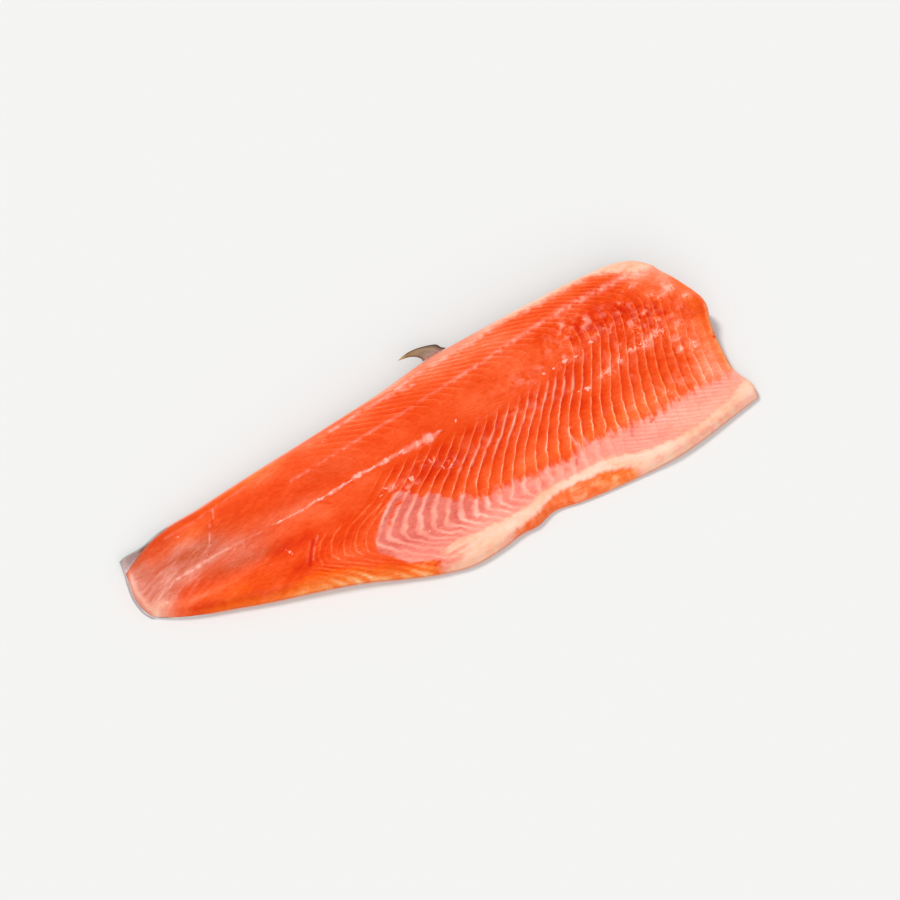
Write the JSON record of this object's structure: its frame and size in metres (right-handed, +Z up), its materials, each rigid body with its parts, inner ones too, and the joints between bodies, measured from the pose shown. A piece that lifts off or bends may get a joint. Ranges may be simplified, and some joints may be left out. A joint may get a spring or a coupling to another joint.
{
  "type": "raw trout fillet",
  "caption": "Raw trout fillet lying skin side down, with a thick loin, ribbed belly cavity, pale fat band and a hooked scrap of back fin.",
  "frame": {"origin": "bottom centre of the whole piece, on the surface that the skin lies on", "axes": "+X from the tail cut to the head cut, +Y from the belly to the back, +Z up out of the cut face"},
  "size_m": [0.3942, 0.1464, 0.0276],
  "materials": {
    "raw_flesh": "wet raw trout flesh, orange-red with pale ribs, a pink belly membrane and a peach fat band",
    "fish_skin": "moist fine-scaled trout skin, dark along the back and silver to the belly",
    "fin": "thin brown fin with faint rays, paler at the tip"
  },
  "bodies": {
    "root": {"flesh": "raw_flesh", "skin": "fish_skin", "back_fin": "fin"}
  },
  "joints": []
}
